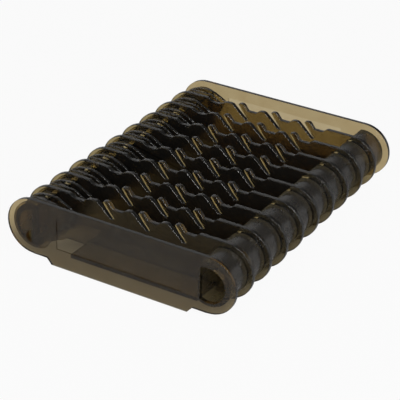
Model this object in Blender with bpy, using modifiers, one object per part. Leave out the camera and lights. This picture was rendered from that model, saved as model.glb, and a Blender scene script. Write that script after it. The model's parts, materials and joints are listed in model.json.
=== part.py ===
"""Leader rack: two D-section spool tubes held side by side between two end
plates, with flanged, hook-toothed dividers along them. Metres, +Z up, X across
the rack, Y along the tubes. The origin is on the resting plane, under the
middle of the rack."""

import math

import bmesh
import bpy
from mathutils import Matrix, Vector

# Overall sizes
RACK_LENGTH = 0.2018
TUBE_SPACING = 0.1192
CLEARANCE = 0.0003
OVERRUN = 0.004
ARC_STEP = math.radians(9)

# End plates, each with a skirt that the rack stands on
PLATE_RADIUS = 0.0180
PLATE_THICKNESS = 0.0026
PLATE_ROUNDING = 0.0007
SKIRT_DEPTH = 0.0039
SKIRT_WIDTH = 0.0930
SKIRT_FLARE = 0.0035
PANEL_WIDTH = 0.0850
PANEL_HEIGHT = 0.0195
PANEL_DEPTH = 0.0005
PEEPHOLE_RADIUS = 0.0038
PEEPHOLE_DROP = 0.0070

# Spool tubes: round outside, flat towards the middle, narrowing to one end
TUBE_RADIUS = 0.0140
TUBE_WALL_OPEN = 0.0027
TUBE_WALL_CLOSED = 0.0034
FLAT_INSET_OPEN = 0.0070
FLAT_INSET_CLOSED = 0.0023
FLAT_WALL_OPEN = 0.0021
FLAT_WALL_CLOSED = 0.0033

# Dividers
DIVIDER_COUNT = 9
DIVIDER_THICKNESS = 0.0030
FLANGE_RADIUS = 0.0177
LEFT_FLANGE_RADIUS = 0.0174
BELLY_DEPTH = 0.0134

# Hook slots along a divider's top edge. Shares are of the hook pitch across,
# from a tooth's left corner, and of the flange radius up, from the tube axis.
HOOK_COUNT = 3
HOOK_PITCH = 0.0245
HOOK_SHIFT = 0.0023
KNEE_SHARES = ((-1.029, 0.966), (-0.971, 0.932), (-0.914, 0.881), (-0.861, 0.847),
               (-0.808, 0.836), (-0.678, 0.836), (-0.616, 0.856), (-0.563, 0.898),
               (-0.510, 0.944), (-0.453, 0.972), (-0.384, 0.989))
RISE_SHARES = ((-0.486, 0.864), (-0.457, 0.915), (-0.412, 0.960), (-0.347, 0.989))
HOOK_SHARES = ((-0.273, 0.994), (-0.216, 0.972), (-0.165, 0.915), (0.159, 0.503),
               (0.188, 0.475), (0.245, 0.475), (0.257, 0.497), (0.065, 0.814),
               (-0.016, 0.972), (-0.045, 1.028), (-0.024, 1.068), (0.037, 1.094),
               (0.102, 1.088), (0.143, 1.045), (0.235, 0.881), (0.253, 0.853),
               (0.500, 0.853))
STEP_SHARES = ((0.531, 0.882), (0.571, 0.938), (0.604, 0.972), (0.637, 0.986))

# Floor web under the dividers
FLOOR_THICKNESS = 0.0024
FLOOR_EDGE = 0.0335

# Line grips, thin fins close behind each wall. Shares are of the fin's reach
# from the tube axis, and of its height over it.
GRIP_HEIGHT = 0.01785
GRIP_THICKNESS = 0.0014
GRIP_SLOT = 0.0009
GRIP_REACH = 0.0222
GRIP_SHARES = ((-0.14, 0.980), (-0.05, 1.000), (0.54, 1.000), (0.62, 0.985),
               (0.70, 0.935), (0.78, 0.865), (0.97, 0.730), (1.00, 0.690),
               (0.96, 0.500), (0.62, 0.000), (0.52, -0.420))

# Guide fins, lower and thicker, ahead of each wall
GUIDE_HEIGHT = 0.0153
GUIDE_THICKNESS = 0.0022
GUIDE_LEAD = 0.0068
GUIDE_REACH = 0.0186
GUIDE_SHARES = ((0.15, 1.030), (0.29, 1.035), (0.43, 1.007), (0.57, 0.955),
                (0.86, 0.778), (0.97, 0.706), (1.00, 0.627), (0.80, 0.020),
                (0.62, -0.400))
FIN_BACK_RADIUS = 0.0153
FIN_CREST_ANGLE = math.radians(100)
FIN_LOW_ANGLE = math.radians(-62)

# Colours, linear
SMOKE = (0.105, 0.088, 0.055, 1.0)
SMOKE_PALE = (0.160, 0.140, 0.095, 1.0)
SMOKE_DEEP = (0.060, 0.052, 0.036, 1.0)

HALF_LENGTH = RACK_LENGTH / 2
HALF_SPACING = TUBE_SPACING / 2
AXIS_HEIGHT = SKIRT_DEPTH + PLATE_RADIUS
PITCH = (RACK_LENGTH - PLATE_THICKNESS) / (DIVIDER_COUNT + 1)
TUBE_END = HALF_LENGTH - PLATE_THICKNESS - CLEARANCE
LEFT, RIGHT = -1, 1


def wall_place(index):
    """Y of the middle of wall number index, where 0 and the last are the end plates."""
    return -HALF_LENGTH + PLATE_THICKNESS / 2 + index * PITCH


def wall_thickness(index):
    return PLATE_THICKNESS if index in (0, DIVIDER_COUNT + 1) else DIVIDER_THICKNESS


def collection(name):
    group = bpy.data.collections.new(name)
    bpy.context.scene.collection.children.link(group)
    return group


def plastic(name, colour):
    """Glossy see-through plastic."""
    material = bpy.data.materials.new(name)
    material.use_nodes = True
    shader = material.node_tree.nodes["Principled BSDF"]
    shader.inputs["Base Color"].default_value = colour
    shader.inputs["Metallic"].default_value = 0.0
    shader.inputs["Roughness"].default_value = 0.22
    shader.inputs["IOR"].default_value = 1.49
    shader.inputs["Transmission Weight"].default_value = 0.5
    material.diffuse_color = colour
    return material


def arc(centre_x, centre_z, radius, start, end):
    """Points of an arc, from angle start to angle end."""
    count = max(2, math.ceil(abs(end - start) / ARC_STEP))
    angles = [start + (end - start) * step / count for step in range(count + 1)]
    return [(centre_x + radius * math.cos(a), centre_z + radius * math.sin(a)) for a in angles]


def flat_plate(name, outline, thickness, place_y, group):
    """An upright plate: a filled 2D curve in X and Z, made a mesh."""
    curve = bpy.data.curves.new(name + "_outline", "CURVE")
    curve.dimensions = "2D"
    curve.fill_mode = "BOTH"
    curve.extrude = thickness / 2
    spline = curve.splines.new("POLY")
    spline.points.add(len(outline) - 1)
    for point, (x, z) in zip(spline.points, outline):
        point.co = (x, z, 0, 1)
    spline.use_cyclic_u = True
    drawn = bpy.data.objects.new(name + "_outline", curve)
    drawn.rotation_euler.x = math.radians(90)
    drawn.location = (0, place_y, AXIS_HEIGHT)
    bpy.context.scene.collection.objects.link(drawn)
    bpy.context.view_layer.update()
    evaluated = drawn.evaluated_get(bpy.context.evaluated_depsgraph_get())
    mesh = bpy.data.meshes.new_from_object(evaluated)
    mesh.name = name
    plate = bpy.data.objects.new(name, mesh)
    plate.matrix_world = drawn.matrix_world.copy()
    group.objects.link(plate)
    bpy.data.objects.remove(drawn)
    weld(mesh)
    return plate


def weld(mesh):
    """Joins the loose caps of a mesh that was a curve."""
    shape = bmesh.new()
    shape.from_mesh(mesh)
    bmesh.ops.remove_doubles(shape, verts=shape.verts, dist=CLEARANCE / 100)
    bmesh.ops.recalc_face_normals(shape, faces=shape.faces)
    shape.to_mesh(mesh)
    shape.free()


def d_bar(name, side, front, rear, start, end, group):
    """A D-section bar from its front (radius, inset) to its rear one, flat towards the middle."""
    count = math.ceil(2 * math.pi / ARC_STEP)
    angles = [2 * math.pi * step / count for step in range(count)]
    shape = bmesh.new()
    rings = []
    for (radius, _), y in ((front, start), (rear, end)):
        rings.append([shape.verts.new((side * HALF_SPACING + radius * math.cos(angle), y,
                                       AXIS_HEIGHT + radius * math.sin(angle)))
                      for angle in angles])
    for ring in rings:
        shape.faces.new(ring)
    for step in range(count):
        after = (step + 1) % count
        shape.faces.new((rings[0][step], rings[0][after], rings[1][after], rings[1][step]))
    flat_start = Vector((side * (HALF_SPACING - front[1]), start, 0))
    flat_end = Vector((side * (HALF_SPACING - rear[1]), end, 0))
    inboard = (flat_end - flat_start).cross(Vector((0, 0, -side)))
    bmesh.ops.bisect_plane(shape, geom=shape.verts[:] + shape.edges[:] + shape.faces[:],
                           plane_co=flat_start, plane_no=inboard, clear_outer=True)
    bmesh.ops.holes_fill(shape, edges=shape.edges[:])
    bmesh.ops.recalc_face_normals(shape, faces=shape.faces)
    mesh = bpy.data.meshes.new(name)
    shape.to_mesh(mesh)
    shape.free()
    bar = bpy.data.objects.new(name, mesh)
    group.objects.link(bar)
    return bar


def tube_sections(side, y, grow=0.0):
    """Outer and inner (radius, inset) of a spool tube at y, the outer grown by a clearance."""
    towards_closed = (y + TUBE_END) / (2 * TUBE_END)
    if side == LEFT:
        towards_closed = 1 - towards_closed
    flat = FLAT_INSET_OPEN + (FLAT_INSET_CLOSED - FLAT_INSET_OPEN) * towards_closed
    wall = TUBE_WALL_OPEN + (TUBE_WALL_CLOSED - TUBE_WALL_OPEN) * towards_closed
    flat_wall = FLAT_WALL_OPEN + (FLAT_WALL_CLOSED - FLAT_WALL_OPEN) * towards_closed
    return (TUBE_RADIUS + grow, flat + grow), (TUBE_RADIUS - wall, flat - flat_wall)


def tube_bar(name, side, which, grow, reach, group):
    """The outside (which 0) or the bore (which 1) of a spool tube, out to reach each way."""
    front = tube_sections(side, -reach, grow)[which]
    rear = tube_sections(side, reach, grow)[which]
    return d_bar(name, side, front, rear, -reach, reach, group)


def as_cutter(cutter):
    cutter.hide_render = True
    cutter.display_type = "WIRE"
    return cutter


def cut(target, cutter):
    boolean = target.modifiers.new("cut_" + cutter.name, "BOOLEAN")
    boolean.operation = "DIFFERENCE"
    boolean.object = cutter


def round_edges(target, width, segments):
    """Rounds the rim of a plate, before anything is cut from it."""
    bevel = target.modifiers.new("rounding", "BEVEL")
    bevel.width = width
    bevel.segments = segments
    bevel.limit_method = "ANGLE"
    bevel.angle_limit = math.radians(60)
    join = target.modifiers.new("corners", "WELD")
    join.merge_threshold = CLEARANCE / 3


def finish(target, material):
    """Gives a piece its material, and joins the flat faces that the cuts have split."""
    flats = target.modifiers.new("flats", "DECIMATE")
    flats.decimate_type = "DISSOLVE"
    flats.angle_limit = math.radians(0.3)
    target.data.materials.clear()
    target.data.materials.append(material)
    target.data.shade_smooth()
    target.data.set_sharp_from_angle(angle=math.radians(35))


def plate_outline():
    """A stadium round both tube ends, with the skirt below it."""
    skirt = SKIRT_WIDTH / 2
    outline = arc(HALF_SPACING, 0, PLATE_RADIUS, -math.pi / 2, math.pi / 2)
    outline += arc(-HALF_SPACING, 0, PLATE_RADIUS, math.pi / 2, 3 * math.pi / 2)
    outline += [(-skirt - SKIRT_FLARE, -PLATE_RADIUS), (-skirt, -AXIS_HEIGHT)]
    outline += [(skirt, -AXIS_HEIGHT), (skirt + SKIRT_FLARE, -PLATE_RADIUS)]
    return outline


def box(name, low, high, group):
    """A box cutter between two corners."""
    shape = bmesh.new()
    bmesh.ops.create_cube(shape, size=1)
    size = [b - a for a, b in zip(low, high)]
    centre = [(a + b) / 2 for a, b in zip(low, high)]
    bmesh.ops.scale(shape, vec=size, verts=shape.verts)
    bmesh.ops.translate(shape, vec=centre, verts=shape.verts)
    mesh = bpy.data.meshes.new(name)
    shape.to_mesh(mesh)
    shape.free()
    cutter = bpy.data.objects.new(name, mesh)
    group.objects.link(cutter)
    return as_cutter(cutter)


def peephole_outline():
    """A half disc flush with the closed end's inner flat."""
    (_, _), (_, inset) = tube_sections(LEFT, -TUBE_END)
    flat_x = -HALF_SPACING + inset
    return arc(flat_x, -PEEPHOLE_DROP, PEEPHOLE_RADIUS, math.pi / 2, 3 * math.pi / 2)


def end_plate(name, turned, material, parts, cutters):
    """One end plate: skirt, bare recessed panel, a D mouth and a peephole."""
    y = wall_place(0)
    plate = flat_plate(name, plate_outline(), PLATE_THICKNESS, y, parts)
    round_edges(plate, PLATE_ROUNDING, 2)
    outer = -HALF_LENGTH
    mouth_section = tube_sections(RIGHT, -TUBE_END)[1]
    mouth = as_cutter(d_bar(name + "_mouth", RIGHT, mouth_section, mouth_section,
                            outer - OVERRUN, outer + PLATE_THICKNESS + OVERRUN, cutters))
    cut(plate, mouth)
    peephole = flat_plate(name + "_peephole", peephole_outline(),
                          PLATE_THICKNESS + OVERRUN, y, cutters)
    cut(plate, as_cutter(peephole))
    low = (-PANEL_WIDTH / 2, outer - OVERRUN, AXIS_HEIGHT - PANEL_HEIGHT / 2)
    high = (PANEL_WIDTH / 2, outer + PANEL_DEPTH, AXIS_HEIGHT + PANEL_HEIGHT / 2)
    cut(plate, box(name + "_panel", low, high, cutters))
    if turned:
        half_turn = Matrix.Rotation(math.pi, 4, "Z")
        for piece in (plate, mouth, peephole, bpy.data.objects[name + "_panel"]):
            piece.matrix_world = half_turn @ piece.matrix_world
    finish(plate, material)
    return plate


def spool_tube(name, side, material, parts, cutters):
    """A D-section tube that reaches from plate to plate."""
    tube = tube_bar(name, side, 0, 0.0, TUBE_END, parts)
    cut(tube, as_cutter(tube_bar(name + "_bore", side, 1, 0.0, TUBE_END + OVERRUN, cutters)))
    finish(tube, material)
    return tube


def shares_to_points(shares, start_x):
    return [(start_x + x * HOOK_PITCH, z * FLANGE_RADIUS) for x, z in shares]


def hook_edge():
    """The top edge of a divider between its two flanges, from left to right."""
    first = HOOK_SHIFT - (HOOK_COUNT - 1) / 2 * HOOK_PITCH
    edge = shares_to_points(KNEE_SHARES, first)
    for index in range(HOOK_COUNT):
        tooth = first + index * HOOK_PITCH
        if index:
            edge += shares_to_points(RISE_SHARES, tooth)
        edge += shares_to_points(HOOK_SHARES, tooth)
    return edge + shares_to_points(STEP_SHARES, tooth)


def divider_outline(y):
    """Flange round each tube, hooked top edge, and a lower edge seated over the floor web."""
    low = math.asin(BELLY_DEPTH / LEFT_FLANGE_RADIUS)
    left_crest = math.asin(KNEE_SHARES[0][1] * FLANGE_RADIUS / LEFT_FLANGE_RADIUS)
    right_crest = math.asin(STEP_SHARES[-1][1])
    flat_x = HALF_SPACING - tube_sections(RIGHT, y)[0][1]
    reach = math.acos((flat_x - HALF_SPACING) / FLANGE_RADIUS)
    seat = -BELLY_DEPTH + FLOOR_THICKNESS + CLEARANCE
    outline = arc(-HALF_SPACING, 0, LEFT_FLANGE_RADIUS, 2 * math.pi - low, math.pi - left_crest)
    outline += hook_edge()
    outline += arc(HALF_SPACING, 0, FLANGE_RADIUS, right_crest, -reach)
    outline += [(flat_x, seat), (-FLOOR_EDGE - CLEARANCE, seat)]
    outline += [(-FLOOR_EDGE - CLEARANCE, -BELLY_DEPTH)]
    return outline


def divider(index, material, sockets, parts):
    y = wall_place(index)
    piece = flat_plate(f"divider_{index:02d}", divider_outline(y), DIVIDER_THICKNESS, y, parts)
    for socket in sockets:
        cut(piece, socket)
    finish(piece, material)
    return piece


def floor_web(material, parts):
    """A level plate under the dividers, its right edge along the right tube's flat."""
    curve = bpy.data.curves.new("floor_outline", "CURVE")
    curve.dimensions = "2D"
    curve.fill_mode = "BOTH"
    curve.extrude = FLOOR_THICKNESS / 2
    corners = [(-FLOOR_EDGE, -TUBE_END), (-FLOOR_EDGE, TUBE_END)]
    for y in (TUBE_END, -TUBE_END):
        flat_x = HALF_SPACING - tube_sections(RIGHT, y)[0][1]
        corners.append((flat_x - CLEARANCE, y))
    spline = curve.splines.new("POLY")
    spline.points.add(len(corners) - 1)
    for point, (x, y) in zip(spline.points, corners):
        point.co = (x, y, 0, 1)
    spline.use_cyclic_u = True
    drawn = bpy.data.objects.new("floor_outline", curve)
    bpy.context.scene.collection.objects.link(drawn)
    bpy.context.view_layer.update()
    mesh = bpy.data.meshes.new_from_object(
        drawn.evaluated_get(bpy.context.evaluated_depsgraph_get()))
    bpy.data.objects.remove(drawn)
    weld(mesh)
    mesh.name = "floor_web"
    web = bpy.data.objects.new("floor_web", mesh)
    web.location.z = AXIS_HEIGHT - BELLY_DEPTH + FLOOR_THICKNESS / 2
    parts.objects.link(web)
    finish(web, material)
    return web


def fin_outline(height, reach, shares):
    """A fin round the left tube: an arc outside, a crest, and a nose that slopes down inboard."""
    low = FIN_LOW_ANGLE
    outline = arc(-HALF_SPACING, 0, FIN_BACK_RADIUS, 2 * math.pi + low, FIN_CREST_ANGLE)
    outline += [(-HALF_SPACING + x * reach, z * height) for x, z in shares]
    return outline


def fin(name, outline, thickness, y, socket, material, parts):
    piece = flat_plate(name, outline, thickness, y, parts)
    cut(piece, socket)
    finish(piece, material)
    return piece


def build():
    for old in list(bpy.data.objects):
        bpy.data.objects.remove(old)
    parts = collection("leader_rack")
    cutters = collection("cutters")
    smoke = plastic("smoke_plastic", SMOKE)
    pale = plastic("smoke_plastic_plate", SMOKE_PALE)
    deep = plastic("smoke_plastic_tube", SMOKE_DEEP)

    end_plate("front_end_plate", False, pale, parts, cutters)
    end_plate("rear_end_plate", True, pale, parts, cutters)
    spool_tube("left_spool_tube", LEFT, deep, parts, cutters)
    spool_tube("right_spool_tube", RIGHT, deep, parts, cutters)
    floor_web(smoke, parts)

    sockets = [as_cutter(tube_bar(label + "_socket", side, 0, CLEARANCE, HALF_LENGTH, cutters))
               for label, side in (("left", LEFT), ("right", RIGHT))]
    for index in range(1, DIVIDER_COUNT + 1):
        divider(index, smoke, sockets, parts)

    grip = fin_outline(GRIP_HEIGHT, GRIP_REACH, GRIP_SHARES)
    guide = fin_outline(GUIDE_HEIGHT, GUIDE_REACH, GUIDE_SHARES)
    for index in range(DIVIDER_COUNT + 1):
        grip_y = wall_place(index) + wall_thickness(index) / 2 + GRIP_SLOT + GRIP_THICKNESS / 2
        guide_y = wall_place(index + 1) - GUIDE_LEAD
        label = f"{index + 1:02d}"
        fin("line_grip_" + label, grip, GRIP_THICKNESS, grip_y, sockets[0], smoke, parts)
        fin("guide_fin_" + label, guide, GUIDE_THICKNESS, guide_y, sockets[0], smoke, parts)


build()
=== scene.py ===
"""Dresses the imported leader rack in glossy, see-through smoke plastic, and lights it
on a plain pale floor. Metres, +Z up, X across the rack, Y along its tubes."""

import json
import math

import bmesh
import bpy
from mathutils import Matrix, Vector
from mathutils.bvhtree import BVHTree


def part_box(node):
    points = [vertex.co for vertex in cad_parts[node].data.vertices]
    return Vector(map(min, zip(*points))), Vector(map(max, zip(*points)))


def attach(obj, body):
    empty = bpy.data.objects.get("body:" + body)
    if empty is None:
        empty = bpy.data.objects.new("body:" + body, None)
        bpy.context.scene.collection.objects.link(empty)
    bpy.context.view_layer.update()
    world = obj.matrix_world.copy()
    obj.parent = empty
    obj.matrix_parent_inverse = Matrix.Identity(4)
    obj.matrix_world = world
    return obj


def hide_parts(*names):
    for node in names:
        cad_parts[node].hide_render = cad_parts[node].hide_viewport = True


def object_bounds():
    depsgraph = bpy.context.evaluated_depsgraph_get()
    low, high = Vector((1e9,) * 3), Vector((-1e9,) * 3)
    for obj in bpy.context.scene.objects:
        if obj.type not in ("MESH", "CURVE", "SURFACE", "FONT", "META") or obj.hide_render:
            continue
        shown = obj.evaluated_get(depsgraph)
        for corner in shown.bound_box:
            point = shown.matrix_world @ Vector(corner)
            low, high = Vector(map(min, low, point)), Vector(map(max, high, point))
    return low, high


bl_info = {
    "name": "Leader Rack Dresser",
    "version": (1, 0, 0),
    "blender": (4, 5, 0),
    "location": "View3D > Sidebar > Leader Rack",
    "description": "Gives a packed leader rack its rounded edges, smoke plastic and studio",
    "category": "Object",
}

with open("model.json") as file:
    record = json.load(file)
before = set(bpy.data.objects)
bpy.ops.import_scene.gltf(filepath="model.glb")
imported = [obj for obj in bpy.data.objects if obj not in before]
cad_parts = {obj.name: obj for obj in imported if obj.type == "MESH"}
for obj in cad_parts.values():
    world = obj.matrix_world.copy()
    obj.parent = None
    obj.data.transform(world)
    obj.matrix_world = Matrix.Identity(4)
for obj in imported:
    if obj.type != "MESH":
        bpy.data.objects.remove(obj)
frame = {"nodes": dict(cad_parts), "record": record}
cad_low, cad_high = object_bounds()

MILLIMETRE = 0.001

NODES = sorted(frame["nodes"])
PLATES = [node for node in NODES if node.endswith("end_plate")]
TUBES = [node for node in NODES if node.endswith("spool_tube")]
LEFT_TUBE = "left_spool_tube"
DIVIDERS = [node for node in NODES if node.startswith("divider_")]
GRIPS = [node for node in NODES if node.startswith("line_grip_")]
GUIDES = [node for node in NODES if node.startswith("guide_fin_")]
FLOOR_WEB = "floor_web"
SLOTS = {entry["node"]: entry["material_slot"] for entry in frame["record"]["subparts"]}

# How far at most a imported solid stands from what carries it, and how far its dressed copy does
CAD_GAP = 0.36 * MILLIMETRE
SEAT = 0.02 * MILLIMETRE

# Points closer than this are one point, faces that turn less than this are one flat face,
# and an edge that turns more than this keeps its crease
MERGE = 0.001 * MILLIMETRE
FLAT_ANGLE = math.radians(0.3)
SHARP_ANGLE = math.radians(38)

# A face is square to an axis where its unit normal reaches further along it than this
SQUARE_SHARE = 0.9

# The patterns in the plastic: how many patches or waves there are to a metre, how fine they
# go, and the scale across, along and upwards that draws them out along the rack
PATCHES = 90.0
PATCH_DETAIL = 4.0
WAVES = 260.0
WAVE_DETAIL = 2.0
WAVE_STRENGTH = 0.25
FLOW_STRETCH = (1.0, 0.35, 1.0)

# The patches' values between which the plastic goes from glossy to dull, and from dark to
# pale, and how rough the glossiest spots are as a share of the dullest
GLOSSY_TO_DULL = (0.35, 0.70)
DARK_TO_PALE = (0.30, 0.70)
GLOSSY_SHARE = 0.3

# The plastic's density over its greatest loss, a little more than 1 so that no colour is at 0
DENSITY_SHARE = 1.1

# Where the studio changes, as shares of a direction from the rack: its walls from left to
# right, and upwards its horizon and ceiling
WALL_TURN = (-0.45, 0.10)
HORIZON_RISE = (0.27, 0.44)
CEILING_RISE = (0.60, 0.85)

WHITE = (1.0, 1.0, 1.0, 1.0)

# How far the floor goes to each side of the rack's middle
FLOOR_REACH = 4.0

# The photograph's side in pixels, the sensor's width in the camera's own millimetres, and
# how near a thing may be and still be seen
IMAGE_SIDE = 400
SENSOR_WIDTH = 36.0
NEAREST_SEEN = 10 * MILLIMETRE

# How many walls of plastic, mirror images and seams a ray of light may pass
WALL_BOUNCES = 32
MIRROR_BOUNCES = 16
SEAM_PASSES = 48


class PlasticSettings(bpy.types.PropertyGroup):
    """The smoke plastic. Each absorption holds the shares of red, green and blue light
    lost per metre."""
    plate_absorption: bpy.props.FloatVectorProperty(
        name="Plate absorption", description="Light lost per metre in the end plates",
        default=(300.0, 370.0, 560.0), size=3, min=0.0)
    # The end plates' absorption is the smoke plastic's own. The dividers, fins, web and tubes are the same
    # plastic, and their higher absorption is partly painted shade that darkens the rack's inside
    wall_absorption: bpy.props.FloatVectorProperty(
        name="Wall absorption", description="Light lost per metre in the dividers, fins and web",
        default=(375.0, 435.0, 645.0), size=3, min=0.0)
    tube_absorption: bpy.props.FloatVectorProperty(
        name="Tube absorption", description="Light lost per metre in the spool tubes",
        default=(480.0, 550.0, 800.0), size=3, min=0.0)
    plate_haze: bpy.props.FloatProperty(
        name="Plate haze", description="Share of light that the end plates' surface scatters",
        default=0.004, min=0.0, max=1.0, subtype="FACTOR")
    wall_haze: bpy.props.FloatProperty(
        name="Wall haze", description="Share that the dividers, fins and web scatter",
        default=0.006, min=0.0, max=1.0, subtype="FACTOR")
    tube_haze: bpy.props.FloatProperty(
        name="Tube haze", description="Share that the spool tubes scatter",
        default=0.016, min=0.0, max=1.0, subtype="FACTOR")
    plate_roughness: bpy.props.FloatProperty(
        name="Plate roughness", description="Roughness of the end plates' dullest spots",
        default=0.04, min=0.0, max=1.0, subtype="FACTOR")
    wall_roughness: bpy.props.FloatProperty(
        name="Wall roughness", description="Roughness of the dividers', fins' and web's dullest spots",
        default=0.20, min=0.0, max=1.0, subtype="FACTOR")
    tube_roughness: bpy.props.FloatProperty(
        name="Tube roughness", description="Roughness of the spool tubes' dullest spots",
        default=0.34, min=0.0, max=1.0, subtype="FACTOR")
    refraction: bpy.props.FloatProperty(
        name="Refraction", description="Index of refraction of the plastic",
        default=1.49, min=1.0, max=2.5)
    dark_tint: bpy.props.FloatVectorProperty(
        name="Dark tint", description="Tint of the plastic's darker patches",
        default=(0.90, 0.84, 0.74), size=3, min=0.0, max=1.0, subtype="COLOR")
    pale_tint: bpy.props.FloatVectorProperty(
        name="Pale tint", description="Tint of the plastic's paler patches",
        default=(0.98, 0.95, 0.88), size=3, min=0.0, max=1.0, subtype="COLOR")
    ripple: bpy.props.FloatProperty(
        name="Ripple", description="Height of the moulding's faint ripples",
        default=0.02 * MILLIMETRE, min=0.0, unit="LENGTH")


class RoundingSettings(bpy.types.PropertyGroup):
    """How far each kind of piece has its edges rounded."""
    divider: bpy.props.FloatProperty(
        name="Divider", description="Rounding of a divider's rim",
        default=0.5 * MILLIMETRE, min=0.0, unit="LENGTH")
    guide: bpy.props.FloatProperty(
        name="Guide fin", description="Rounding of a guide fin's rim",
        default=0.6 * MILLIMETRE, min=0.0, unit="LENGTH")
    grip: bpy.props.FloatProperty(
        name="Line grip", description="Rounding of a line grip's rim",
        default=0.4 * MILLIMETRE, min=0.0, unit="LENGTH")
    segments: bpy.props.IntProperty(
        name="Steps", description="Steps in each rounding", default=4, min=1, max=8)


class CameraSettings(bpy.types.PropertyGroup):
    """Where the camera stands, and how it is aimed."""
    azimuth: bpy.props.FloatProperty(
        name="Azimuth", description="Angle round the rack, from its front",
        default=math.radians(29.78), subtype="ANGLE")
    elevation: bpy.props.FloatProperty(
        name="Elevation", description="Angle above the floor",
        default=math.radians(28.30), subtype="ANGLE")
    roll: bpy.props.FloatProperty(
        name="Roll", description="Turn about the camera's own line of sight",
        default=math.radians(1.72), subtype="ANGLE")
    distance: bpy.props.FloatProperty(
        name="Distance", description="From the camera to the rack's middle",
        default=0.9395, min=0.0, unit="LENGTH")
    focal_pixels: bpy.props.FloatProperty(
        name="Focal length", description="In pixels of the square frame", default=1515.8)
    centre_pixels: bpy.props.FloatVectorProperty(
        name="Optical centre", description="In pixels from the frame's top left corner",
        default=(207.55, 185.05), size=2)


class StudioSettings(bpy.types.PropertyGroup):
    """The floor, the sky round it and the lamp. A brightness of 1 is white."""
    floor_colour: bpy.props.FloatVectorProperty(
        name="Floor", description="Colour of the floor",
        default=(0.38, 0.38, 0.38), size=3, min=0.0, max=1.0, subtype="COLOR")
    floor_white: bpy.props.FloatProperty(
        name="Floor whiteness", description="How far the camera sees the floor as plain white",
        default=0.94, min=0.0, max=1.0, subtype="FACTOR")
    floor_glow: bpy.props.FloatProperty(
        name="Floor in plastic", description="How far the plastic shows the floor round it as plain white",
        default=0.90, min=0.0, max=1.0, subtype="FACTOR")
    floor_rest: bpy.props.FloatProperty(
        name="Floor under the rack", description="How far the plastic shows the floor there as plain white",
        default=0.12, min=0.0, max=1.0, subtype="FACTOR")
    floor_mirrored: bpy.props.FloatProperty(
        name="Floor mirrored", description="How far the plastic mirrors the floor as plain white",
        default=0.20, min=0.0, max=1.0, subtype="FACTOR")
    floor_fade: bpy.props.FloatProperty(
        name="Floor fade", description="How far beside the rack its shade on the floor fades",
        default=30 * MILLIMETRE, min=0.0, unit="LENGTH")
    floor_open: bpy.props.FloatProperty(
        name="Floor open", description="How far the lit floor reaches in under the rack's right and back",
        default=12 * MILLIMETRE, min=0.0, unit="LENGTH")
    floor_shade: bpy.props.FloatProperty(
        name="Floor shade", description="Darkness of the floor under the rack's middle",
        default=0.75, min=0.0, max=1.0, subtype="FACTOR")
    shade_fade: bpy.props.FloatProperty(
        name="Shade fade", description="How far light creeps under the rack from the front and left",
        default=45 * MILLIMETRE, min=0.0, unit="LENGTH")
    shade_slant: bpy.props.FloatProperty(
        name="Shade slant", description="How many times less far it creeps from the right and back",
        default=4.0, min=1.0)
    sky_through: bpy.props.FloatProperty(
        name="Sky through", description="Brightness of the sky seen through the plastic",
        default=0.85, min=0.0)
    sky_low: bpy.props.FloatProperty(
        name="Sky low", description="Brightness of the sky near the horizon",
        default=0.55, min=0.0)
    sky_left: bpy.props.FloatProperty(
        name="Sky left", description="Brightness of the studio's left side, above the horizon",
        default=0.55, min=0.0)
    sky_right: bpy.props.FloatProperty(
        name="Sky right", description="Brightness of the studio's right side, above the horizon",
        default=0.12, min=0.0)
    sky_top: bpy.props.FloatProperty(
        name="Sky overhead", description="Brightness of the studio's ceiling",
        default=0.25, min=0.0)
    lamp_power: bpy.props.FloatProperty(
        name="Lamp", description="Power of the soft lamp at the front",
        default=14.0, min=0.0, unit="POWER")
    lamp_place: bpy.props.FloatVectorProperty(
        name="Lamp place", description="Where the lamp hangs, aimed at the rack",
        default=(0.60, -0.72, 0.68), size=3, unit="LENGTH")
    lamp_sides: bpy.props.FloatVectorProperty(
        name="Lamp sides", description="Width and height of the lamp",
        default=(1.3, 1.0), size=2, min=0.0, unit="LENGTH")


def feed(socket, value):
    """Gives a node's socket its value: another socket's, or a plain one."""
    if isinstance(value, bpy.types.NodeSocket):
        socket.id_data.links.new(value, socket)
    else:
        socket.default_value = value


def axes_of_place(nodes):
    """X, Y and Z of the place that is shaded, on the object's own axes."""
    place = nodes.new("ShaderNodeTexCoord")
    apart = nodes.new("ShaderNodeSeparateXYZ")
    feed(apart.inputs["Vector"], place.outputs["Object"])
    return apart.outputs


def noise(nodes, place, scale, detail):
    """A cloudy pattern, from 0 to 1."""
    cloud = nodes.new("ShaderNodeTexNoise")
    for name, value in (("Vector", place), ("Scale", scale), ("Detail", detail)):
        feed(cloud.inputs[name], value)
    return cloud.outputs["Fac"]


def reckon(nodes, operation, *values):
    """The result of one step of arithmetic on these values."""
    math_node = nodes.new("ShaderNodeMath")
    math_node.operation = operation
    for socket, value in zip(math_node.inputs, values):
        feed(socket, value)
    return math_node.outputs["Value"]


def greatest(nodes, values):
    """The greatest of several values."""
    most, *others = values
    for value in others:
        most = reckon(nodes, "MAXIMUM", most, value)
    return most


def carry_over(nodes, value, before, after, path="SMOOTHSTEP"):
    """Carries a value from one range over to another, and holds it at both ends."""
    ranges = nodes.new("ShaderNodeMapRange")
    ranges.interpolation_type = path
    for name, end in zip(("From Min", "From Max", "To Min", "To Max"), (*before, *after)):
        feed(ranges.inputs[name], end)
    feed(ranges.inputs["Value"], value)
    return ranges.outputs["Result"]


def between(nodes, share, first, second):
    """A value between two others, which is the second where the share is 1."""
    mix = nodes.new("ShaderNodeMix")
    for name, value in (("Factor", share), ("A", first), ("B", second)):
        feed(mix.inputs[name], value)
    return mix.outputs["Result"]


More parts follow.
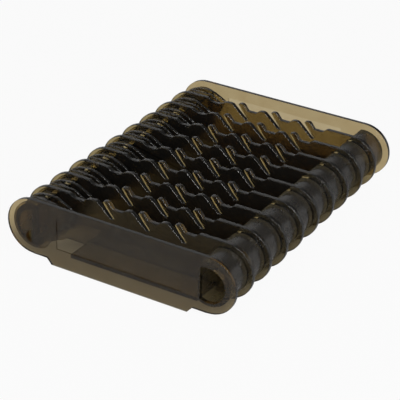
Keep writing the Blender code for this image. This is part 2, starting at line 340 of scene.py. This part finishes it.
def mix_surfaces(nodes, share, first, second):
    """Feeds the output a mixture of two surfaces, all second where the share is 1."""
    mix = nodes.new("ShaderNodeMixShader")
    for socket, value in zip(mix.inputs, (share, first, second)):
        feed(socket, value)
    feed(nodes["Material Output"].inputs["Surface"], mix.outputs["Shader"])


def smoke_plastic(name, absorption, haze, roughness):
    """See-through smoke plastic that swallows light along its path. Faces where two
    pieces are one moulding carry the seam attribute, and let light straight through."""
    settings = bpy.context.scene.rack_plastic
    material = bpy.data.materials.new(name)
    material.use_nodes = True
    nodes = material.node_tree.nodes
    shader = nodes["Principled BSDF"]
    shader.inputs["Transmission Weight"].default_value = 1.0 - haze
    shader.inputs["IOR"].default_value = settings.refraction

    place = nodes.new("ShaderNodeTexCoord")
    flow = nodes.new("ShaderNodeMapping")
    feed(flow.inputs["Vector"], place.outputs["Object"])
    feed(flow.inputs["Scale"], FLOW_STRETCH)
    patches = noise(nodes, flow.outputs["Vector"], PATCHES, PATCH_DETAIL)
    gloss = carry_over(nodes, patches, GLOSSY_TO_DULL, (GLOSSY_SHARE * roughness, roughness), "LINEAR")
    feed(shader.inputs["Roughness"], gloss)

    tint = nodes.new("ShaderNodeValToRGB")
    shades = (settings.dark_tint, settings.pale_tint)
    for stop, position, shade in zip(tint.color_ramp.elements, DARK_TO_PALE, shades):
        stop.position = position
        stop.color = (*shade, 1.0)
    feed(tint.inputs["Fac"], patches)
    feed(shader.inputs["Base Color"], tint.outputs["Color"])

    bump = nodes.new("ShaderNodeBump")
    feed(bump.inputs["Strength"], WAVE_STRENGTH)
    feed(bump.inputs["Distance"], settings.ripple)
    feed(bump.inputs["Height"], noise(nodes, flow.outputs["Vector"], WAVES, WAVE_DETAIL))
    feed(shader.inputs["Normal"], bump.outputs["Normal"])

    seam = nodes.new("ShaderNodeAttribute")
    seam.attribute_name = "seam"
    clear = nodes.new("ShaderNodeBsdfTransparent")
    mix_surfaces(nodes, seam.outputs["Fac"], shader.outputs["BSDF"], clear.outputs["BSDF"])

    density = DENSITY_SHARE * max(absorption)
    depth = nodes.new("ShaderNodeVolumeAbsorption")
    depth.inputs["Density"].default_value = density
    depth.inputs["Color"].default_value = [1 - loss / density for loss in absorption] + [1.0]
    feed(nodes["Material Output"].inputs["Volume"], depth.outputs["Volume"])
    return material


def plastic_for(node):
    """The plastic of a node's own slot, made when it is first asked for."""
    name = "dressed_" + SLOTS[node]
    material = bpy.data.materials.get(name)
    if material is None:
        # Walls and tubes take the higher absorption, which partly paints the shade inside the rack
        kind = "plate" if node in PLATES else "tube" if node in TUBES else "wall"
        settings = bpy.context.scene.rack_plastic
        material = smoke_plastic(name, getattr(settings, kind + "_absorption"),
                                 getattr(settings, kind + "_haze"),
                                 getattr(settings, kind + "_roughness"))
    return material


def tree_of(nodes):
    """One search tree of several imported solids."""
    shape = bmesh.new()
    for node in nodes:
        shape.from_mesh(frame["nodes"][node].data)
    tree = BVHTree.FromBMesh(shape)
    shape.free()
    return tree


def cad_copy(node):
    """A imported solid's shape, its loose triangles joined and its flat faces made whole."""
    shape = bmesh.new()
    shape.from_mesh(frame["nodes"][node].data)
    bmesh.ops.remove_doubles(shape, verts=shape.verts, dist=MERGE)
    bmesh.ops.dissolve_limit(shape, angle_limit=FLAT_ANGLE, use_dissolve_boundaries=False,
                             verts=shape.verts, edges=shape.edges)
    return shape


def is_cap(face):
    """Whether a face is square to the rack's length, as both sides of a divider are."""
    return abs(face.normal.y) > SQUARE_SHARE


def touches(face, tree):
    """Whether a face's middle stands no more than a clearance from a neighbour."""
    return tree.find_nearest(face.calc_center_median(), CAD_GAP)[0] is not None


def seat(shape, tree):
    """Moves the points that stand a clearance from a neighbour up to it, and returns them.
    A point moves along the rack only where the neighbour's face is square to that."""
    seated = set()
    for vert in shape.verts:
        place, normal, _, _ = tree.find_nearest(vert.co, CAD_GAP)
        if place is None:
            continue
        along = vert.co.y
        vert.co = place + normal * SEAT
        if abs(normal.y) < SQUARE_SHARE:
            vert.co.y = along
        seated.add(vert)
    return seated


def round_rim(shape, width, seated):
    """Rounds the edges between an upright plate's two caps and its free rim."""
    rim = [edge for edge in shape.edges
           if len(edge.link_faces) == 2
           and is_cap(edge.link_faces[0]) != is_cap(edge.link_faces[1])
           and not (edge.verts[0] in seated and edge.verts[1] in seated)]
    segments = bpy.context.scene.rack_rounding.segments
    bmesh.ops.bevel(shape, geom=rim, offset=width, offset_type="OFFSET", affect="EDGES",
                    segments=segments, profile=0.5, material=-1, clamp_overlap=False,
                    loop_slide=True)


def cut_at_walls(shape, walls):
    """Cuts a shape's faces in line with both caps of each of these walls, and leaves the
    shape whole."""
    for place in sorted(corner.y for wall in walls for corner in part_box(wall)):
        bmesh.ops.bisect_plane(shape, geom=shape.verts[:] + shape.edges[:] + shape.faces[:],
                               plane_co=(0, place, 0), plane_no=(0, 1, 0))
    shape.normal_update()


def mark_seams(shape, is_inside=lambda face: False):
    """Gives the faces that are inside the moulding a seam value of 1, and the others 0."""
    layer = shape.faces.layers.float.new("seam")
    for face in shape.faces:
        face[layer] = 1.0 if is_inside(face) else 0.0


def finish_piece(shape, node):
    """Makes the shape a piece that stands for its node, in the node's own plastic."""
    name = node + "_moulding"
    mesh = bpy.data.meshes.new(name)
    shape.normal_update()
    shape.to_mesh(mesh)
    shape.free()
    mesh.materials.append(plastic_for(node))
    mesh.shade_smooth()
    mesh.set_sharp_from_angle(angle=SHARP_ANGLE)
    piece = bpy.data.objects.new(name, mesh)
    bpy.context.scene.collection.objects.link(piece)
    even = piece.modifiers.new("even_shading", "WEIGHTED_NORMAL")
    even.keep_sharp = True
    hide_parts(node)
    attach(piece, "root")


def upright_plate(node, width, tree):
    """A divider or fin, seated on what carries it and rounded along its rim."""
    shape = cad_copy(node)
    seated = seat(shape, tree)
    joined = [face.calc_center_median() for face in shape.faces
              if not is_cap(face) and all(vert in seated for vert in face.verts)]
    round_rim(shape, width, seated)
    shape.normal_update()
    mark_seams(shape, lambda face: not is_cap(face) and any(
        (face.calc_center_median() - middle).length < MERGE for middle in joined))
    finish_piece(shape, node)


class LEADERRACK_OT_end_plates(bpy.types.Operator):
    """Make the two end plates, with their bare recessed panels"""
    bl_idname = "leaderrack.end_plates"
    bl_label = "End plates"

    def execute(self, context):
        for node in PLATES:
            shape = cad_copy(node)
            mark_seams(shape)
            finish_piece(shape, node)
        return {"FINISHED"}


class LEADERRACK_OT_spool_tubes(bpy.types.Operator):
    """Make the two D-section spool tubes, joined to the walls and fins that they carry"""
    bl_idname = "leaderrack.spool_tubes"
    bl_label = "Spool tubes"

    def execute(self, context):
        ends = tree_of(PLATES)
        for node in TUBES:
            carried = DIVIDERS + (GRIPS + GUIDES if node == LEFT_TUBE else [])
            around = tree_of(carried)
            shape = cad_copy(node)
            seat(shape, ends)
            cut_at_walls(shape, carried)
            mark_seams(shape, lambda face: not is_cap(face) and touches(face, around))
            finish_piece(shape, node)
        return {"FINISHED"}


class LEADERRACK_OT_dividers(bpy.types.Operator):
    """Make the hook-slotted dividers with their rounded edges"""
    bl_idname = "leaderrack.dividers"
    bl_label = "Dividers"

    def execute(self, context):
        carriers = tree_of(TUBES + [FLOOR_WEB])
        for node in DIVIDERS:
            upright_plate(node, context.scene.rack_rounding.divider, carriers)
        return {"FINISHED"}


class LEADERRACK_OT_fins(bpy.types.Operator):
    """Make the line grips and the guide fins round the left tube"""
    bl_idname = "leaderrack.fins"
    bl_label = "Line grips and guide fins"

    def execute(self, context):
        carrier = tree_of([LEFT_TUBE])
        rounding = context.scene.rack_rounding
        for nodes, width in ((GRIPS, rounding.grip), (GUIDES, rounding.guide)):
            for node in nodes:
                upright_plate(node, width, carrier)
        return {"FINISHED"}


class LEADERRACK_OT_floor_web(bpy.types.Operator):
    """Make the level web under the dividers, which closes the lanes from below"""
    bl_idname = "leaderrack.floor_web"
    bl_label = "Floor web"

    def execute(self, context):
        above = tree_of(DIVIDERS)
        shape = cad_copy(FLOOR_WEB)
        seat(shape, tree_of(PLATES))
        cut_at_walls(shape, DIVIDERS)
        mark_seams(shape, lambda face: face.normal.z > SQUARE_SHARE and touches(face, above))
        finish_piece(shape, FLOOR_WEB)
        return {"FINISHED"}


def floor_paint():
    """The floor's matt paint. The camera sees it almost white. The plastic shows it almost
    white beside the rack and dark under it, and mirrors a share of that white. The shade
    under the rack is painted by place, darkest away from the front and left."""
    studio = bpy.context.scene.rack_studio
    material = bpy.data.materials.new("pale_floor")
    material.use_nodes = True
    nodes = material.node_tree.nodes
    nodes.remove(nodes["Principled BSDF"])

    # How far the place is outside each edge of the rack, which is less than 0 under it
    axes = axes_of_place(nodes)
    outside = {
        "left": reckon(nodes, "SUBTRACT", cad_low.x, axes["X"]),
        "front": reckon(nodes, "SUBTRACT", cad_low.y, axes["Y"]),
        "right": reckon(nodes, "SUBTRACT", axes["X"], cad_high.x - studio.floor_open),
        "back": reckon(nodes, "SUBTRACT", axes["Y"], cad_high.y - studio.floor_open),
    }

    # How white the plastic shows the place, and how much light creeps in to it
    clear = carry_over(nodes, greatest(nodes, outside.values()), (0.0, studio.floor_fade),
                       (studio.floor_rest, studio.floor_glow))
    ways_in = [outside["left"], outside["front"]]
    ways_in += [reckon(nodes, "MULTIPLY", outside[side], studio.shade_slant) for side in ("right", "back")]
    light = carry_over(nodes, greatest(nodes, ways_in), (-studio.shade_fade, 0.0),
                       (1.0 - studio.floor_shade, 1.0))

    colour = nodes.new("ShaderNodeVectorMath")
    colour.operation = "SCALE"
    feed(colour.inputs[0], studio.floor_colour)
    feed(colour.inputs["Scale"], light)
    matt = nodes.new("ShaderNodeBsdfDiffuse")
    feed(matt.inputs["Color"], colour.outputs["Vector"])
    white = nodes.new("ShaderNodeEmission")
    feed(white.inputs["Color"], WHITE)

    rays = nodes.new("ShaderNodeLightPath")
    whiteness = {
        "Is Camera Ray": studio.floor_white,
        "Is Transmission Ray": reckon(nodes, "MULTIPLY", clear, light),
        "Is Glossy Ray": reckon(nodes, "MULTIPLY", light, studio.floor_mirrored),
    }
    shares = [reckon(nodes, "MULTIPLY", rays.outputs[ray], share) for ray, share in whiteness.items()]
    mix_surfaces(nodes, greatest(nodes, shares), matt.outputs["BSDF"], white.outputs["Emission"])
    return material


def pale_floor():
    """A wide level floor under the rack."""
    shape = bmesh.new()
    bmesh.ops.create_grid(shape, x_segments=1, y_segments=1, size=FLOOR_REACH)
    mesh = bpy.data.meshes.new("pale_floor")
    shape.to_mesh(mesh)
    shape.free()
    mesh.materials.append(floor_paint())
    floor = bpy.data.objects.new("pale_floor", mesh)
    bpy.context.scene.collection.objects.link(floor)


def soft_lamp():
    """A broad soft lamp at the front, aimed at the rack's middle."""
    studio = bpy.context.scene.rack_studio
    light = bpy.data.lights.new("soft_lamp_front", "AREA")
    light.shape = "RECTANGLE"
    light.size, light.size_y = studio.lamp_sides
    light.energy = studio.lamp_power
    place = Vector(studio.lamp_place)
    lamp = bpy.data.objects.new("soft_lamp_front", light)
    lamp.matrix_world = Matrix.Translation(place) @ place.to_track_quat("Z", "Y").to_matrix().to_4x4()
    bpy.context.scene.collection.objects.link(lamp)


def soft_sky():
    """A studio's walls and ceiling as the plastic mirrors them, darkest at the right. The
    camera sees plain white past the floor, and near white through the plastic."""
    studio = bpy.context.scene.rack_studio
    world = bpy.data.worlds.new("soft_sky")
    bpy.context.scene.world = world
    world.use_nodes = True
    nodes = world.node_tree.nodes

    axes = axes_of_place(nodes)
    walls = carry_over(nodes, axes["X"], WALL_TURN, (studio.sky_left, studio.sky_right))
    horizon = carry_over(nodes, axes["Z"], HORIZON_RISE, (1.0, 0.0))
    ceiling = carry_over(nodes, axes["Z"], CEILING_RISE, (0.0, 1.0))
    around = between(nodes, horizon, walls, studio.sky_low)
    mirrored = between(nodes, ceiling, around, studio.sky_top)

    rays = nodes.new("ShaderNodeLightPath")
    through = between(nodes, rays.outputs["Is Transmission Ray"], mirrored, studio.sky_through)
    seen = between(nodes, rays.outputs["Is Camera Ray"], through, 1.0)
    sky = nodes["Background"]
    feed(sky.inputs["Color"], WHITE)
    feed(sky.inputs["Strength"], seen)


def photograph_camera():
    """The camera, placed by its angles about the rack's middle."""
    settings = bpy.context.scene.rack_camera
    low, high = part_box(LEFT_TUBE)
    target = Vector((0, 0, (low.z + high.z) / 2))
    turn, rise = settings.azimuth, settings.elevation
    outward = Vector((math.sin(turn) * math.cos(rise), -math.cos(turn) * math.cos(rise),
                      math.sin(rise)))
    facing = outward.to_track_quat("Z", "Y").to_matrix().to_4x4()
    data = bpy.data.cameras.new("photograph_camera")
    data.sensor_width = SENSOR_WIDTH
    data.lens = settings.focal_pixels * SENSOR_WIDTH / IMAGE_SIDE
    half = IMAGE_SIDE / 2
    data.shift_x = (half - settings.centre_pixels[0]) / IMAGE_SIDE
    data.shift_y = (settings.centre_pixels[1] - half) / IMAGE_SIDE
    data.clip_start = NEAREST_SEEN
    camera = bpy.data.objects.new("photograph_camera", data)
    camera.matrix_world = (Matrix.Translation(target + outward * settings.distance)
                           @ facing @ Matrix.Rotation(settings.roll, 4, "Z"))
    bpy.context.scene.collection.objects.link(camera)
    bpy.context.scene.camera = camera


class LEADERRACK_OT_stage(bpy.types.Operator):
    """Make the pale floor, the soft sky, the soft lamp and the camera"""
    bl_idname = "leaderrack.stage"
    bl_label = "Stage"

    def execute(self, context):
        pale_floor()
        soft_sky()
        soft_lamp()
        photograph_camera()
        scene = context.scene
        scene.view_settings.view_transform = "Standard"
        scene.cycles.max_bounces = WALL_BOUNCES
        scene.cycles.transmission_bounces = WALL_BOUNCES
        scene.cycles.glossy_bounces = MIRROR_BOUNCES
        scene.cycles.transparent_max_bounces = SEAM_PASSES
        return {"FINISHED"}


MAKERS = (
    LEADERRACK_OT_end_plates,
    LEADERRACK_OT_spool_tubes,
    LEADERRACK_OT_dividers,
    LEADERRACK_OT_fins,
    LEADERRACK_OT_floor_web,
    LEADERRACK_OT_stage,
)

SETTINGS = {
    "rack_plastic": PlasticSettings,
    "rack_rounding": RoundingSettings,
    "rack_camera": CameraSettings,
    "rack_studio": StudioSettings,
}


class LEADERRACK_PT_dresser(bpy.types.Panel):
    """Lists what the dresser makes, with its sizes and colours"""
    bl_idname = "LEADERRACK_PT_dresser"
    bl_label = "Leader Rack"
    bl_space_type = "VIEW_3D"
    bl_region_type = "UI"
    bl_category = "Leader Rack"

    def draw(self, context):
        for maker in MAKERS:
            self.layout.operator(maker.bl_idname)
        for group, kind in SETTINGS.items():
            box = self.layout.box()
            for name in kind.__annotations__:
                box.prop(getattr(context.scene, group), name)


CLASSES = (*SETTINGS.values(), *MAKERS, LEADERRACK_PT_dresser)


def register():
    """Gives Blender the dresser's classes, and each scene its settings."""
    for kind in CLASSES:
        bpy.utils.register_class(kind)
    for group, kind in SETTINGS.items():
        setattr(bpy.types.Scene, group, bpy.props.PointerProperty(type=kind))


def unregister():
    """Takes back what register gives."""
    for group in SETTINGS:
        delattr(bpy.types.Scene, group)
    for kind in reversed(CLASSES):
        bpy.utils.unregister_class(kind)


def main():
    """Makes the pieces and the stage."""
    register()
    bpy.ops.leaderrack.end_plates()
    bpy.ops.leaderrack.spool_tubes()
    bpy.ops.leaderrack.dividers()
    bpy.ops.leaderrack.fins()
    bpy.ops.leaderrack.floor_web()
    bpy.ops.leaderrack.stage()


if __name__ == "__main__":
    main()
